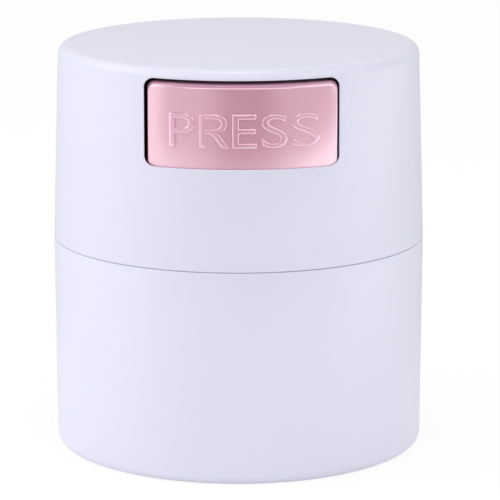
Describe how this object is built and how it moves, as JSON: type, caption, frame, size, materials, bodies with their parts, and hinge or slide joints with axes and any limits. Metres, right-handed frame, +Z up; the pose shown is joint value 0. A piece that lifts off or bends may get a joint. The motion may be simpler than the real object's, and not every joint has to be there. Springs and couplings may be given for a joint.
{
  "type": "lash glue container",
  "caption": "Round two-part jar, slightly tapered, whose lid holds a press button, a vent valve and a sealed plug, for keeping bottles of lash adhesive dry and airtight.",
  "frame": {"origin": "centre of the foot, on the surface that the jar stands on", "axes": "+Z up along the jar's axis, -Y towards the press button, +X to the right of someone facing the button"},
  "size_m": [0.084, 0.084, 0.0916],
  "materials": {
    "shell_plastic": "satin moulded pearl white with a lilac cast",
    "cup_plastic": "smooth natural white polypropylene",
    "silicone": "translucent white silicone",
    "plated_plastic": "satin metallised rose pink",
    "acetal": "plain white acetal",
    "spring_steel": "drawn stainless wire"
  },
  "bodies": {
    "base": {"base_shell": "shell_plastic", "inner_cup": "cup_plastic"},
    "seal": {"plug_seal": "silicone"},
    "lid": {"lid_shell": "shell_plastic", "inner_lid": "cup_plastic", "button_spring_left": "spring_steel", "button_spring_right": "spring_steel", "valve_spring": "spring_steel"},
    "button": {"press_button": "plated_plastic", "button_slider": "acetal"},
    "valve": {"valve_stem": "acetal", "valve_pad": "silicone"}
  },
  "joints": [
    {"name": "lid_lift", "type": "slide", "parent": "base", "child": "seal", "axis": [0, 0, 1], "range_m": [0, 0.08]},
    {"name": "lid_turn", "type": "hinge", "parent": "seal", "child": "lid", "pos_m": [0, 0, 0.0478], "axis": [0, 0, 1], "continuous": true},
    {"name": "button_press", "type": "slide", "parent": "lid", "child": "button", "axis": [0, 1, 0], "range_m": [0, 0.003], "stiffness_N_per_m": 500, "springref_m": -0.002, "deforming": ["button_spring_left", "button_spring_right"]},
    {"name": "valve_lift", "type": "slide", "parent": "lid", "child": "valve", "axis": [0, 0, 1], "range_m": [0, 0.0018], "deforming": ["valve_spring"]}
  ],
  "couplings": [
    {"joint": "valve_lift", "follows": "button_press", "ratio": 0.6}
  ]
}
